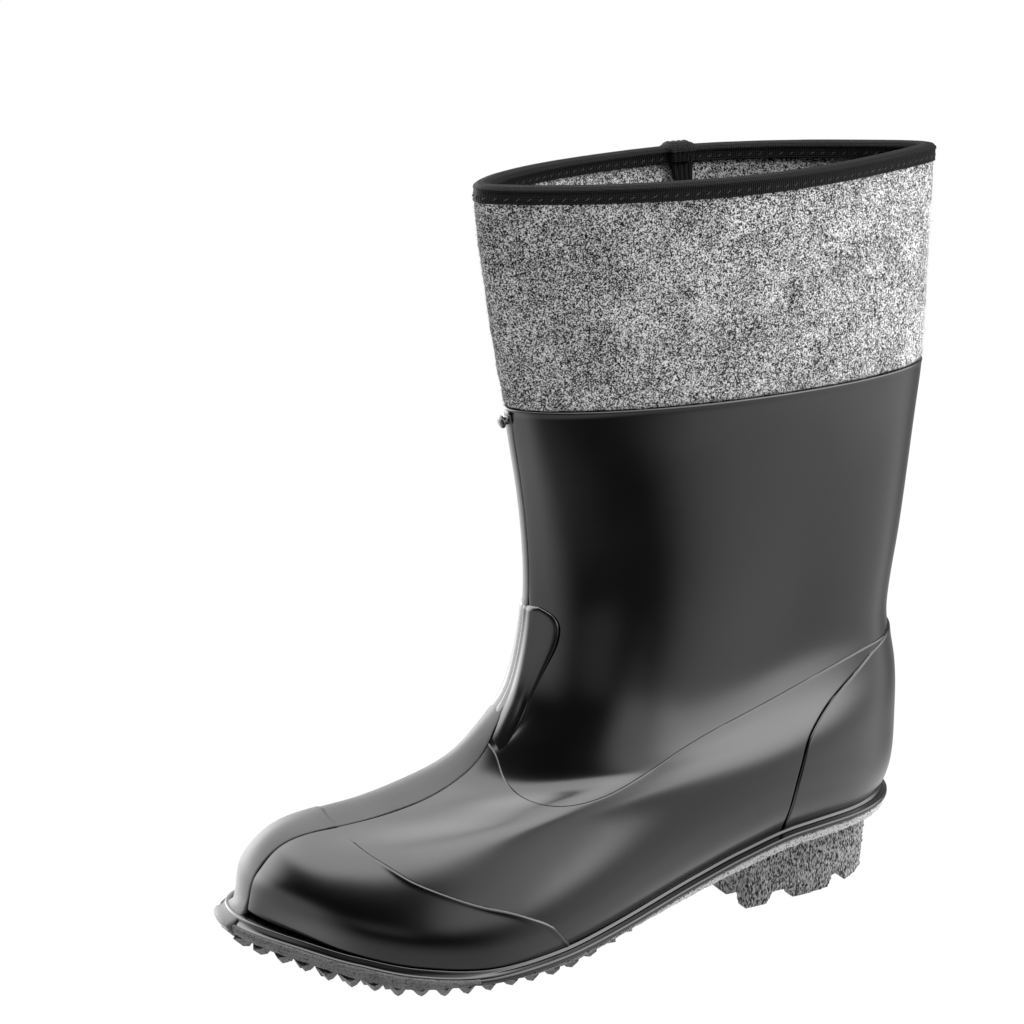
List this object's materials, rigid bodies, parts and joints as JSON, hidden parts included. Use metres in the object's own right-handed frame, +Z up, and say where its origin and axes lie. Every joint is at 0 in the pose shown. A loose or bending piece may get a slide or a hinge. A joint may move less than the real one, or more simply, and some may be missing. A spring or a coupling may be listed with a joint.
{
  "type": "rubber boot",
  "caption": "Black rubber boot for the left foot with a grey felt cuff, a taped collar, a raised strip down the front and a toothed sole with a stepped heel.",
  "frame": {"origin": "on the floor, under the middle of the boot's length and width", "axes": "+X from heel to toe, +Y to the outside of the left foot, +Z up from the floor"},
  "size_m": [0.318, 0.1124, 0.3135],
  "materials": {
    "black_rubber": "satin black moulded rubber",
    "tread_rubber": "dull dark grey rubber, pitted on the heel",
    "grey_felt": "mottled grey felt with short hairs",
    "black_tape": "ribbed black woven tape",
    "insole_felt": "plain grey felt"
  },
  "bodies": {
    "root": {"outsole": "tread_rubber", "heel": "tread_rubber", "insole": "insole_felt", "upper": "black_rubber", "toe_cap": "black_rubber", "galosh": "black_rubber", "heel_counter": "black_rubber", "instep_pad": "black_rubber", "front_strip": "black_rubber", "front_nub": "black_rubber", "felt_cuff": "grey_felt", "collar_binding": "black_tape", "binding_join": "black_tape"}
  },
  "joints": []
}
